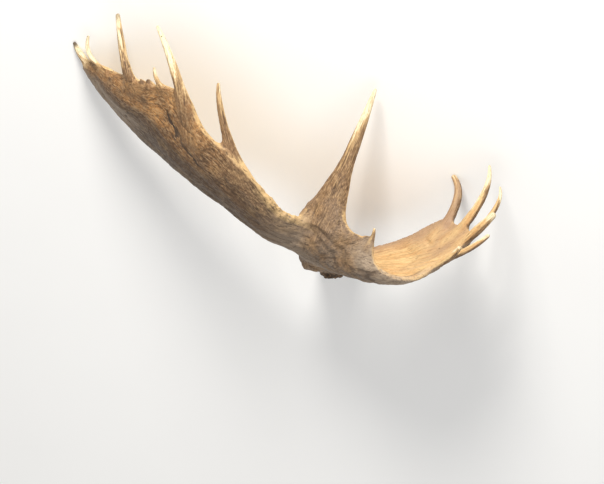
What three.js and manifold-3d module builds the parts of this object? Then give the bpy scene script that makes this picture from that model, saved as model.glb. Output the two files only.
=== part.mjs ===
// A moose's right antler, sawn off the skull below its burr and lying on a level surface.
// It is shaped as the animal carries it (origin in the burr, +X out to the side, +Y forward,
// +Z up), parted at its main forks, then turned to lie on its three lowest points.
// Millimetres. +Z is up and the origin is the middle of the box's underside.

import * as THREE from 'three';
import { mergeVertices } from 'three/addons/utils/BufferGeometryUtils.js';
import Module from 'manifold-3d';

const wasm = await Module();
wasm.setup();

// ---------------------------------------------------------------- driving dimensions

// Main palm, base to tip: rear edge point, tined edge point, hollow depth of the section,
// half thickness at the rear edge and at the tined edge.
const MAIN_PALM = [
  [112, 92, -8, 128, 80, 18, 0, 24, 22],
  [128, 60, -3, 152, 60, 36, -2, 21, 17],
  [150, 20, 18, 196, 52, 58, -6, 17, 11],
  [168, -38, 44, 250, 32, 77, -14, 14, 8.5],
  [186, -114, 99, 310, 0, 141, -22, 12, 7],
  [206, -204, 165, 352, -62, 215, -27, 11, 6.5],
  [228, -277, 229, 372, -104, 287, -28, 10, 6],
  [254, -326, 290, 362, -182, 304, -22, 9, 5.5],
  [272, -345, 323, 336, -253, 324, -10, 8, 5.5],
  [284, -350, 338, 308, -314, 341, -3, 6.5, 5.5],
];

// Brow palm, from its inner side round the front to the outer wall: root point, rim point,
// depth of the bowl, half thickness at the root and at the rim.
const BROW_PALM = [
  [82, 32, -2, 32, 238, 60, -24, 12, 6.5],
  [88, 44, -8, 34, 240, 58, -20, 14, 6],
  [98, 52, -10, 58, 298, 48, -30, 14, 6],
  [108, 58, -11, 90, 320, 24, -30, 14, 6],
  [118, 62, -11, 126, 300, -6, -26, 14, 6],
  [128, 66, -10, 154, 262, -36, -16, 14, 6],
  [138, 70, -8, 170, 235, -40, -10, 14, 6],
  [146, 70, -5, 180, 205, -30, -8, 15, 6],
  [154, 68, 0, 185, 184, -10, -8, 16, 6],
  [160, 64, 8, 187, 176, 30, -8, 16, 6],
  [164, 60, 16, 188, 156, 34, -7, 16, 6.5],
  [168, 55, 22, 186, 130, 48, -6, 16, 8],
  [170, 48, 28, 184, 100, 86, -4, 16, 11],
  [172, 40, 34, 186, 62, 84, -2, 15, 10],
];

// Tines: where they leave the palm (place along the rows above, share of the way to the
// rim), middle and tip, then the root's half width along the rim and half thickness, and the
// radius at the middle and at the tip.
const MAIN_TINES = [
  { at: [8.6, 0.5], middle: [290, -355, 356], tip: [298, -367, 381], radii: [13, 5, 6.8, 3.2] },
  { at: [8.2, 0.85], middle: [318, -321, 356], tip: [322, -324, 392], radii: [14, 4, 4.4, 2.8] },
  { at: [7.1, 0.86], middle: [364, -223, 349], tip: [350, -245, 428], radii: [26, 5, 8, 4.2] },
  { at: [6.9, 0.95], middle: [366, -171, 302], tip: [368, -171, 310], radii: [20, 5, 8, 4.6] },
  { at: [6.3, 0.95], middle: [376, -147, 310], tip: [378, -153, 333], radii: [15, 4, 4.4, 2.6] },
  { at: [5.1, 0.84], middle: [384, -101, 311], tip: [372, -149, 406], radii: [27, 6, 9, 3.4] },
  { at: [4.05, 0.9], middle: [340, -33, 236], tip: [345, -40, 304], radii: [20, 4, 7, 3.2] },
  { at: [2.1, 0.93], middle: [200, 54, 72], tip: [199, 55, 80], radii: [11, 9, 5.5, 3.5] },
];
const BROW_TINES = [
  { at: [11.9, 0.5], middle: [172, 135, 191], tip: [150, 168, 295], radii: [46, 24, 11, 3] },
  { at: [8.6, 0.95], middle: [188, 184, 32], tip: [190, 189, 48], radii: [11, 5, 4.4, 2.4] },
  { at: [1.6, 0.8], middle: [30, 266, 94], tip: [10, 250, 141], radii: [18, 9, 8.2, 4.6] },
  { at: [2.2, 0.84], middle: [62, 334, 99], tip: [36, 337, 160], radii: [17, 7, 7, 2.6] },
  { at: [2.8, 0.93], middle: [66, 360, 77], tip: [44, 363, 122], radii: [15, 5, 5.2, 2.2] },
  { at: [3.2, 0.92], middle: [102, 348, 45], tip: [100, 379, 72], radii: [14, 5, 8.6, 6] },
  { at: [3.8, 0.93], middle: [126, 345, 13], tip: [122, 381, 36], radii: [14, 5, 5.8, 3.6] },
  { at: [4.4, 0.93], middle: [148, 316, -4], tip: [156, 342, 14], radii: [13, 5, 6, 4.4] },
];
const LONG_TINE = 90;
const ROOT_FLARE = 1.6;
const TIP_TAPER = 1.2;

// Beam and burr.
const BEAM_LINE = [[-30, -3, -4], [20, 0, 0], [60, 4, 0], [100, 14, 2], [130, 34, 14]];
const BEAM_RADII = [28, 30, 28, 28, 22];
const BEAM_RIDGES = 7;
const BEAM_RIDGE_HEIGHT = 0.05;
const BEAM_TWIST = 0.25;
const BURR_LINE = [[-8, -1, -1], [2, 0, 0], [12, 0, 0]];
const BURR_RADII = [33, 41, 33];
const PEARLS = 13;
const PEARL_HEIGHT = 0.06;
const PEARL_SHIFT = 0.8;
const SAW_CUT_X = -16;

// Flutes that run along the palms.
const FLUTES = 5;
const FLUTE_DEPTH = 0.1;

// How finely the shapes are faceted: stations along a palm, points across it and points round
// an edge; rings along a tine and points round it; rings along the beam and the burr. Ends
// and tips are rounded off in rings at these shares of their reach.
const MAIN_FACETS = [22, 11, 2];
const BROW_FACETS = [28, 8, 2];
const LONG_TINE_FACETS = [9, 8];
const SHORT_TINE_FACETS = [5, 6];
const BEAM_RINGS = 10;
const BURR_RINGS = 5;
const END_ROUNDING = [0.35, 0.7, 0.95];
const TIP_ROUNDING = [0.6, 0.95];
const PLATE_STEP = 0.05;

// Where the forks are parted.
const FORK_GAP = 0.3;
const BEAM_END_X = 58;
const BEAM_BLOCK = { y: [-90, 46], z: [-90, 90] };
const FORK_POINT = [180, 74, 60];
const FORK_NORMAL = [-0.48, 0.83, 0.28];
const SAW = 2000;

// How it lies: roughly up, and the direction of its length, as carried.
const ROUGHLY_UP = [0.82, 0.17, -0.55];
const LENGTHWAYS = [-0.5, 0.87, 0];
const SETTLING_TURNS = 12;

const BONE = {
  beam: { color: 0x6f5a43, roughness: 0.8 },
  main_palm: { color: 0x8c704c, roughness: 0.65 },
  brow_palm: { color: 0xb08a5c, roughness: 0.6 },
};

// ---------------------------------------------------------------- curves and lofts

const vec = (p) => new THREE.Vector3(...p);

/** The row at place t (0 is the first) on a smooth curve through rows of numbers. */
function rowAt(rows, t) {
  const row = (i) => {
    if (i < 0) return rows[0].map((value, k) => 2 * value - rows[1][k]);
    if (i >= rows.length) return rows.at(-1).map((value, k) => 2 * value - rows.at(-2)[k]);
    return rows[i];
  };
  const i = Math.min(Math.floor(t), rows.length - 2);
  const f = t - i;
  const [a, b, c, d] = [row(i - 1), row(i), row(i + 1), row(i + 2)];
  return b.map((_value, k) => 0.5 * (
    2 * b[k]
    + (c[k] - a[k]) * f
    + (2 * a[k] - 5 * b[k] + 4 * c[k] - d[k]) * f ** 2
    + (3 * b[k] - a[k] - 3 * c[k] + d[k]) * f ** 3
  ));
}

/** Even samples of that curve, both ends included. */
function alongRows(rows, count) {
  return Array.from({ length: count }, (_, n) => rowAt(rows, (n * (rows.length - 1)) / (count - 1)));
}

/** One station of a palm: its edge points, the depth of its hollow and its half thicknesses. */
function stationOf(row) {
  return { from: vec(row.slice(0, 3)), to: vec(row.slice(3, 6)), hollow: row[6], thick: row.slice(7) };
}

/** The middle of a palm's plate, and the way its rim runs there. */
function plateAt(rows, [t, v]) {
  const middleAt = (place) => {
    const { from, to } = stationOf(rowAt(rows, place));
    return from.add(to).multiplyScalar(0.5);
  };
  const rimAt = (place) => stationOf(rowAt(rows, place)).to;
  const { from, to, hollow } = stationOf(rowAt(rows, t));
  const span = to.clone().sub(from);
  const tangent = middleAt(t + PLATE_STEP).sub(middleAt(t - PLATE_STEP)).normalize();
  const face = tangent.cross(span).normalize();
  return {
    point: from.addScaledVector(span, v).addScaledVector(face, 4 * v * (1 - v) * hollow),
    rim: rimAt(t + PLATE_STEP).sub(rimAt(t - PLATE_STEP)).normalize(),
  };
}

/** Unit directions along a list of points. */
function tangentsOf(points) {
  return points.map((_point, i) => {
    const before = points[Math.max(i - 1, 0)];
    const after = points[Math.min(i + 1, points.length - 1)];
    return after.clone().sub(before).normalize();
  });
}

/** Joins rings of points into one closed body with its faces pointing out. */
function loft(rings) {
  const sides = rings[0].length;
  const centre = (ring) => ring.reduce((sum, p) => sum.add(p), new THREE.Vector3()).divideScalar(sides);
  const points = [...rings.flat(), centre(rings[0]), centre(rings.at(-1))];
  const first = rings.length * sides;
  const faces = [];
  for (let i = 0; i < rings.length - 1; i += 1) {
    for (let j = 0; j < sides; j += 1) {
      const a = i * sides + j;
      const b = i * sides + ((j + 1) % sides);
      faces.push([a, b, b + sides], [a, b + sides, a + sides]);
    }
  }
  for (let j = 0; j < sides; j += 1) {
    const next = (j + 1) % sides;
    faces.push([first, next, j], [first + 1, first - sides + j, first - sides + next]);
  }
  const volume = faces.reduce((sum, [a, b, c]) => (
    sum + points[a].dot(points[b].clone().cross(points[c]))
  ), 0);
  if (volume < 0) faces.forEach((face) => face.reverse());
  const geometry = new THREE.BufferGeometry().setFromPoints(points);
  geometry.setIndex(faces.flat());
  return geometry;
}

/** A palm: curved plates swept through rows of edge points, with round edges and ends. */
function palm(rows, [count, across, cap]) {
  const stations = alongRows(rows, count).map(stationOf);
  const middles = stations.map((s) => s.from.clone().add(s.to).multiplyScalar(0.5));
  const tangents = tangentsOf(middles);
  const sections = stations.map((s, i) => {
    const span = s.to.clone().sub(s.from);
    const width = span.length();
    const along = span.clone().divideScalar(width);
    const face = tangents[i].clone().cross(span).normalize();
    const places = Array.from({ length: across }, (_, k) => k / (across - 1)).map((v) => {
      const slope = (4 * (1 - 2 * v) * s.hollow) / width;
      const normal = face.clone().addScaledVector(along, -slope).normalize();
      const side = along.clone().addScaledVector(face, slope).normalize();
      const bulge = 4 * v * (1 - v) * s.hollow;
      const centre = s.from.clone().addScaledVector(span, v).addScaledVector(face, bulge);
      const flute = 1 + FLUTE_DEPTH * Math.sin(2 * Math.PI * FLUTES * v) * Math.sin(Math.PI * v);
      return { centre, normal, side, thick: THREE.MathUtils.lerp(...s.thick, v) * flute };
    });
    const round = (place, sign) => Array.from({ length: cap }, (_, k) => {
      const angle = (Math.PI * (k + 1)) / (cap + 1);
      return place.centre.clone()
        .addScaledVector(place.normal, sign * place.thick * Math.cos(angle))
        .addScaledVector(place.side, sign * place.thick * Math.sin(angle));
    });
    const front = places.map((p) => p.centre.clone().addScaledVector(p.normal, p.thick));
    const back = places.map((p) => p.centre.clone().addScaledVector(p.normal, -p.thick)).reverse();
    return [...front, ...round(places.at(-1), 1), ...back, ...round(places[0], -1)];
  });
  const opposite = (k) => (2 * across + cap - 1 - k + 2 * (across + cap)) % (2 * (across + cap));
  const end = (index, sign) => {
    const ring = sections[index];
    const reach = (stations[index].thick[0] + stations[index].thick[1]) / 2;
    return END_ROUNDING.map((sine) => ring.map((point, k) => {
      const middle = point.clone().add(ring[opposite(k)]).multiplyScalar(0.5);
      return middle.clone().addScaledVector(point.clone().sub(middle), Math.sqrt(1 - sine ** 2))
        .addScaledVector(tangents[index], sign * reach * sine);
    }));
  };
  return loft([...end(0, -1).reverse(), ...sections, ...end(count - 1, 1)]);
}

/** A limb round a line of points, with a round tip. radii are pairs: along edge, and across. */
function limb(points, radii, sides, { edge = new THREE.Vector3(0, 0, 1), relief = () => 0 } = {}) {
  const tangents = tangentsOf(points);
  const ringAt = (i) => {
    const wide = edge.clone().addScaledVector(tangents[i], -edge.dot(tangents[i])).normalize();
    const narrow = tangents[i].clone().cross(wide);
    return Array.from({ length: sides }, (_, k) => {
      const turn = (2 * Math.PI * k) / sides;
      const swell = 1 + relief(turn, i);
      return points[i].clone()
        .addScaledVector(wide, radii[i][0] * swell * Math.cos(turn))
        .addScaledVector(narrow, radii[i][1] * swell * Math.sin(turn));
    });
  };
  const rings = points.map((_point, i) => ringAt(i));
  const tip = points.at(-1);
  const cap = TIP_ROUNDING.map((sine) => rings.at(-1).map((point) => (
    tip.clone().addScaledVector(point.clone().sub(tip), Math.sqrt(1 - sine ** 2))
      .addScaledVector(tangents.at(-1), radii.at(-1)[0] * sine)
  )));
  return loft([...rings, ...cap]);
}

/** A tine that grows out of a palm: an even curve through its middle, flared at the root. */
function tine(rows, { at, middle, tip, radii }) {
  const { point: root, rim } = plateAt(rows, at);
  const bend = vec(middle).multiplyScalar(2).addScaledVector(root, -0.5).addScaledVector(vec(tip), -0.5);
  const [steps, sides] = root.distanceTo(vec(tip)) > LONG_TINE ? LONG_TINE_FACETS : SHORT_TINE_FACETS;
  const points = new THREE.QuadraticBezierCurve3(root, bend, vec(tip)).getPoints(steps);
  const [rootWidth, rootThickness, middleRadius, tipRadius] = radii;
  const size = (rootSize, t) => (t < 0.5
    ? middleRadius + (rootSize - middleRadius) * (1 - 2 * t) ** ROOT_FLARE
    : middleRadius + (tipRadius - middleRadius) * (2 * t - 1) ** TIP_TAPER);
  const swell = points.map((_point, i) => [size(rootWidth, i / steps), size(rootThickness, i / steps)]);
  return limb(points, swell, sides, { edge: rim });
}

// ---------------------------------------------------------------- joining and cutting

/** A closed three.js geometry as a manifold solid. */
function solid(geometry) {
  geometry.deleteAttribute('normal');
  geometry.deleteAttribute('uv');
  const merged = mergeVertices(geometry);
  return new wasm.Manifold(new wasm.Mesh({
    numProp: 3,
    vertProperties: new Float32Array(merged.attributes.position.array),
    triVerts: new Uint32Array(merged.index.array),
  }));
}

/** A box between two corners as a manifold solid. */
function block([x0, y0, z0], [x1, y1, z1]) {
  const box = new THREE.BoxGeometry(x1 - x0, y1 - y0, z1 - z0);
  box.translate((x0 + x1) / 2, (y0 + y1) / 2, (z0 + z1) / 2);
  return solid(box);
}

/** The half of space on one side of the fork's cut, half a gap away from it. */
function forkSide(sign) {
  const box = new THREE.BoxGeometry(SAW, SAW, SAW);
  box.translate(0, 0, (SAW + FORK_GAP) / 2);
  const normal = vec(FORK_NORMAL).normalize().multiplyScalar(sign);
  box.applyQuaternion(new THREE.Quaternion().setFromUnitVectors(new THREE.Vector3(0, 0, 1), normal));
  box.translate(...FORK_POINT);
  return solid(box);
}

function joined(parts) {
  return parts.map(solid).reduce((whole, part) => whole.add(part));
}

// ---------------------------------------------------------------- the antler

/** Equal pairs of radii, smoothed along a limb of this many points. */
function roundRadii(radii, count) {
  return alongRows(radii.map((radius) => [radius, radius]), count);
}

function burr() {
  const points = alongRows(BURR_LINE, BURR_RINGS).map(vec);
  const pearls = (turn, i) => PEARL_HEIGHT * Math.cos(PEARLS * turn + PEARL_SHIFT * i + Math.sin(3 * turn));
  return limb(points, roundRadii(BURR_RADII, points.length), 4 * PEARLS, { relief: pearls });
}

function beam() {
  const points = alongRows(BEAM_LINE, BEAM_RINGS).map(vec);
  const ridges = (turn, i) => BEAM_RIDGE_HEIGHT * Math.cos(BEAM_RIDGES * turn + BEAM_TWIST * i);
  return limb(points, roundRadii(BEAM_RADII, points.length), 3 * BEAM_RIDGES, { relief: ridges });
}

const whole = joined([
  palm(MAIN_PALM, MAIN_FACETS),
  palm(BROW_PALM, BROW_FACETS),
  beam(),
  burr(),
  ...MAIN_TINES.map((shape) => tine(MAIN_PALM, shape)),
  ...BROW_TINES.map((shape) => tine(BROW_PALM, shape)),
]).subtract(block([-SAW, -SAW, -SAW], [SAW_CUT_X, SAW, SAW]));

const { y: [beamY0, beamY1], z: [beamZ0, beamZ1] } = BEAM_BLOCK;
const beamBlock = block([-SAW, beamY0, beamZ0], [BEAM_END_X, beamY1, beamZ1]);
const beyondBeam = block(
  [-SAW, beamY0 - FORK_GAP, beamZ0 - FORK_GAP],
  [BEAM_END_X + FORK_GAP, beamY1 + FORK_GAP, beamZ1 + FORK_GAP],
);
const palms = whole.subtract(beyondBeam);
const nodes = {
  beam: whole.intersect(beamBlock),
  main_palm: palms.intersect(forkSide(-1)),
  brow_palm: palms.intersect(forkSide(1)),
};

/** A manifold solid as a named mesh with its own bone material. */
function meshOf(name, shape) {
  const { vertProperties, triVerts } = shape.getMesh();
  const geometry = new THREE.BufferGeometry();
  geometry.setAttribute('position', new THREE.BufferAttribute(vertProperties, 3));
  geometry.setIndex(new THREE.BufferAttribute(triVerts, 1));
  geometry.computeVertexNormals();
  const material = new THREE.MeshStandardMaterial({ ...BONE[name], metalness: 0 });
  const mesh = new THREE.Mesh(geometry, material);
  mesh.name = name;
  return mesh;
}

const carried = new THREE.Group();
for (const [name, shape] of Object.entries(nodes)) carried.add(meshOf(name, shape));

/** The lowest point of a mesh along a direction. */
function lowest(mesh, up) {
  const place = mesh.geometry.attributes.position;
  const point = new THREE.Vector3();
  const best = new THREE.Vector3();
  let height = Infinity;
  for (let i = 0; i < place.count; i += 1) {
    point.fromBufferAttribute(place, i);
    if (point.dot(up) < height) {
      height = point.dot(up);
      best.copy(point);
    }
  }
  return best;
}

/** The upward direction when each of the three pieces touches the surface at one point. */
function lyingUp() {
  const up = vec(ROUGHLY_UP).normalize();
  for (let turn = 0; turn < SETTLING_TURNS; turn += 1) {
    const [a, b, c] = carried.children.map((mesh) => lowest(mesh, up));
    const plane = b.sub(a).cross(c.sub(a)).normalize();
    up.copy(plane.multiplyScalar(Math.sign(plane.dot(up))));
  }
  return up;
}

const up = lyingUp();
const length = vec(LENGTHWAYS).addScaledVector(up, -vec(LENGTHWAYS).dot(up)).normalize();
const across = up.clone().cross(length);
carried.quaternion.setFromRotationMatrix(new THREE.Matrix4().makeBasis(length, across, up).transpose());
carried.updateMatrixWorld(true);
const box = new THREE.Box3().setFromObject(carried, true);
const middle = box.getCenter(new THREE.Vector3());
carried.position.set(-middle.x, -middle.y, -box.min.z);

const antler = new THREE.Group();
antler.add(carried);

export default antler;
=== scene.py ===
"""A moose's right antler, sawn off and lying on a pale surface, as one weathered bone.

Shapes are given in millimetres as the animal carries the antler: origin in the burr, +X out
to the side, +Y forward, +Z up. LYING turns them into the frame's pose. The finished mesh, the
lights and the camera are in metres.
"""

import bpy
import numpy as np
import openvdb
from mathutils import Matrix, Vector
from mathutils.kdtree import KDTree


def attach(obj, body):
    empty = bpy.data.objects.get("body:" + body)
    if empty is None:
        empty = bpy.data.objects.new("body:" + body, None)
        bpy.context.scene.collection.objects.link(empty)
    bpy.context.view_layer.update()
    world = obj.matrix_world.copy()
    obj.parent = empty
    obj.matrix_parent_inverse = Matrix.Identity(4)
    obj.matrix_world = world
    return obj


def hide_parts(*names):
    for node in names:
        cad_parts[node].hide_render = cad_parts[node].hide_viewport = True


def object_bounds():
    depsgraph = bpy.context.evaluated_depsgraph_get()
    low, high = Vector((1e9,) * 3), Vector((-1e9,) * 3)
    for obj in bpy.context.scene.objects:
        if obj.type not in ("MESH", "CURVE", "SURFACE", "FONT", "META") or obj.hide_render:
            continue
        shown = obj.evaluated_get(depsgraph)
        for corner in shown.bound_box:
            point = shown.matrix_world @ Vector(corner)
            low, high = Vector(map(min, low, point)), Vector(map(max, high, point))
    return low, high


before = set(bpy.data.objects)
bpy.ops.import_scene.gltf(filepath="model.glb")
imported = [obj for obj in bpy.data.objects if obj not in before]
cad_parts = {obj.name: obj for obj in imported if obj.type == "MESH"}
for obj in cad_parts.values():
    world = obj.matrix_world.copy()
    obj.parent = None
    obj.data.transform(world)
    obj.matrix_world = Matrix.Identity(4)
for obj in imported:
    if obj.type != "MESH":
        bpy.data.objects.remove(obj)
cad_box = [list(corner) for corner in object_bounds()]

# ---------------------------------------------------------------- the part's numbers

# Main palm, base to tip: rear edge point, tined edge point, hollow depth of the section,
# half thickness at the rear edge and at the tined edge.
MAIN_PALM = [
    [112, 92, -8, 128, 80, 18, 0, 24, 22],
    [128, 60, -3, 152, 60, 36, -2, 21, 17],
    [150, 20, 18, 196, 52, 58, -6, 17, 11],
    [168, -38, 44, 250, 32, 77, -14, 14, 8.5],
    [186, -114, 99, 310, 0, 141, -22, 12, 7],
    [206, -204, 165, 352, -62, 215, -27, 11, 6.5],
    [228, -277, 229, 372, -104, 287, -28, 10, 6],
    [254, -326, 290, 362, -182, 304, -22, 9, 5.5],
    [272, -345, 323, 336, -253, 324, -10, 8, 5.5],
    [284, -350, 338, 308, -314, 341, -3, 6.5, 5.5],
]

# Brow palm, from its inner side round the front to the outer wall: root point, rim point,
# depth of the bowl, half thickness at the root and at the rim.
BROW_PALM = [
    [82, 32, -2, 32, 238, 60, -24, 12, 6.5],
    [88, 44, -8, 34, 240, 58, -20, 14, 6],
    [98, 52, -10, 58, 298, 48, -30, 14, 6],
    [108, 58, -11, 90, 320, 24, -30, 14, 6],
    [118, 62, -11, 126, 300, -6, -26, 14, 6],
    [128, 66, -10, 154, 262, -36, -16, 14, 6],
    [138, 70, -8, 170, 235, -40, -10, 14, 6],
    [146, 70, -5, 180, 205, -30, -8, 15, 6],
    [154, 68, 0, 185, 184, -10, -8, 16, 6],
    [160, 64, 8, 187, 176, 30, -8, 16, 6],
    [164, 60, 16, 188, 156, 34, -7, 16, 6.5],
    [168, 55, 22, 186, 130, 48, -6, 16, 8],
    [170, 48, 28, 184, 100, 86, -4, 16, 11],
    [172, 40, 34, 186, 62, 84, -2, 15, 10],
]

# Tines: place on the palm (station along its rows, share of the way to the rim), middle, tip,
# radii (half width and half thickness at the root, radius at the middle and at the tip), how
# far it melts into the palm, between which shares of its length it turns cream, and how dark
# its tip is.
MAIN_TINES = {
    "t1": ([8.6, 0.5], [290, -355, 356], [298, -367, 381], [13, 5, 6.8, 3.2], 14, (-0.4, 0.9), 0.9),
    "t2": ([8.2, 0.85], [318, -321, 356], [322, -324, 392], [14, 4, 4.4, 2.8], 12, (-0.4, 0.9), 0.2),
    "t3": ([7.1, 0.86], [364, -223, 349], [350, -245, 428], [26, 5, 8, 4.2], 16, (-0.3, 1.3), 0.5),
    "n1": ([6.9, 0.95], [366, -171, 302], [368, -171, 310], [20, 5, 8, 4.6], 12, (2.0, 3.0), 0.7),
    "t4": ([6.3, 0.95], [376, -147, 310], [378, -153, 333], [15, 4, 4.4, 2.6], 10, (-0.2, 1.0), 0.2),
    "t5": ([5.1, 0.84], [384, -101, 311], [372, -149, 406], [27, 6, 9, 3.4], 16, (0.1, 0.85), 0.0),
    "t6": ([4.05, 0.9], [340, -33, 236], [345, -40, 304], [20, 4, 7, 3.2], 16, (0.4, 1.4), 0.0),
    "knob": ([2.1, 0.93], [200, 54, 72], [199, 55, 80], [11, 9, 5.5, 3.5], 8, (0.2, 2.6), 0.0),
}
BROW_TINES = {
    "t7": ([11.9, 0.5], [172, 135, 191], [150, 168, 295], [46, 24, 11, 3], 16, (0.3, 0.85), 0.0),
    "t8": ([8.6, 0.95], [188, 184, 32], [190, 189, 48], [11, 5, 4.4, 2.4], 8, (-0.5, 1.7), 0.0),
    "t9": ([1.6, 0.8], [30, 266, 94], [10, 250, 141], [18, 9, 8.2, 4.6], 10, (0.2, 1.9), 0.0),
    "t10": ([2.2, 0.84], [62, 334, 99], [36, 337, 160], [17, 7, 7, 2.6], 10, (-0.1, 1.1), 0.0),
    "t11": ([2.8, 0.93], [66, 360, 77], [44, 363, 122], [15, 5, 5.2, 2.2], 10, (-0.1, 1.1), 0.0),
    "t12": ([3.2, 0.92], [102, 348, 45], [100, 379, 72], [14, 5, 8.6, 6], 10, (-0.3, 1.2), 0.1),
    "t13": ([3.8, 0.93], [126, 345, 13], [122, 381, 36], [14, 5, 5.8, 3.6], 8, (-0.3, 1.2), 0.1),
    "t14": ([4.4, 0.93], [148, 316, -4], [156, 342, 14], [13, 5, 6, 4.4], 8, (-0.3, 1.2), 0.1),
}
ROOT_FLARE = 1.6
TIP_TAPER = 1.2

# Beam, burr and saw cut.
BEAM_LINE = [[-30, -3, -4], [20, 0, 0], [60, 4, 0], [100, 14, 2], [130, 34, 14]]
BEAM_RADII = [28, 30, 28, 28, 22]
BURR_LINE = [[-8, -1, -1], [2, 0, 0], [12, 0, 0]]
BURR_RADII = [31, 38, 31]
SAW_CUT_X = -16
# Rings of pearls round the burr: place along the beam, radius, how many pearls, their size.
PEARL_RINGS = [
    (-3, 35, 30, 4.2),
    (3, 38.5, 34, 5.0),
    (10, 34, 26, 3.8),
    (24, 29.5, 18, 2.6),
]
# How uneven the pearls are: share of a step round the ring, smallest and largest share of
# their size, and mm along the beam and out from it.
PEARL_TURN = 0.3
PEARL_SIZES = (0.6, 1.2)
PEARL_ALONG = 2.5
PEARL_OUT = 1.5

# The turn and shift from the carried frame to the lying one.
LYING = np.array(
    [
        [-0.295808, 0.944286, -0.144299, 84.424680],
        [0.484641, 0.278530, 0.829183, -220.946384],
        [0.823177, 0.175346, -0.540031, 28.440526],
    ]
)
TURN, SHIFT = LYING[:, :3], LYING[:, 3]
CARRIED_UP = TURN @ np.array([0.0, 0.0, 1.0])

# ---------------------------------------------------------------- how finely it is made

# The volume's cell, how far its distances reach and the room round the solids' box, in mm.
VOXEL = 1.6
BAND = 18.0
SURE_BAND = 0.97 * BAND
MARGIN = 14.0
# Triangles of the finished mesh, and sides of the round bodies that it is made from.
FACES = 186000
TINE_SIDES = 20
BEAM_SIDES = 84
BURR_SIDES = 96
PEARL_SIDES = 8
# Shallow flutes across a palm, as a share of its thickness.
FLUTES = 5
FLUTE_DEPTH = 0.1
# How far the pieces melt into one another, in mm.
PALM_MELT = 22.0
BEAM_MELT = 24.0
BURR_MELT = 5.0
PEARL_MELT = 2.6
# How far the finished skin keeps off the floor, in metres.
FLOOR_GAP = 0.0003
# Keeps a division by zero out.
TINY = 1e-9


# ---------------------------------------------------------------- curves and skins


def unit(vectors):
    return vectors / np.maximum(np.linalg.norm(vectors, axis=-1, keepdims=True), TINY)


def step(low, high, values):
    """A smooth rise from 0 at low to 1 at high, which may be the smaller of the two."""
    share = np.clip((values - low) / (high - low), 0, 1)
    return share * share * (3 - 2 * share)


def lying(points):
    """Points in the carried frame, turned into the lying one."""
    return points @ TURN.T + SHIFT


def along_rows(rows, places):
    """Rows at these places on a smooth curve through all the rows."""
    rows = np.asarray(rows, float)
    padded = np.vstack([2 * rows[0] - rows[1], rows, 2 * rows[-1] - rows[-2]])
    i = np.clip(np.floor(places).astype(int), 0, len(rows) - 2)
    f = (np.asarray(places) - i)[:, None]
    a, b, c, d = (padded[i + k] for k in range(4))
    return 0.5 * (
        2 * b + (c - a) * f + (2 * a - 5 * b + 4 * c - d) * f**2 + (3 * b - a - 3 * c + d) * f**3
    )


def closed(rings):
    """Points and triangles of a closed body through rings of points."""
    count, sides, _ = rings.shape
    points = np.vstack([rings.reshape(-1, 3), rings[0].mean(0), rings[-1].mean(0)])
    a = (np.arange(count - 1)[:, None] * sides + np.arange(sides)).ravel()
    b = (np.arange(count - 1)[:, None] * sides + (np.arange(sides) + 1) % sides).ravel()
    j = np.arange(sides)
    after = (j + 1) % sides
    first, last = count * sides, count * sides + 1
    start = (count - 1) * sides
    triangles = np.vstack(
        [
            np.stack([a, b, b + sides], 1),
            np.stack([a, b + sides, a + sides], 1),
            np.stack([np.full(sides, first), after, j], 1),
            np.stack([np.full(sides, last), start + j, start + after], 1),
        ]
    )
    return points, triangles


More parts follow.
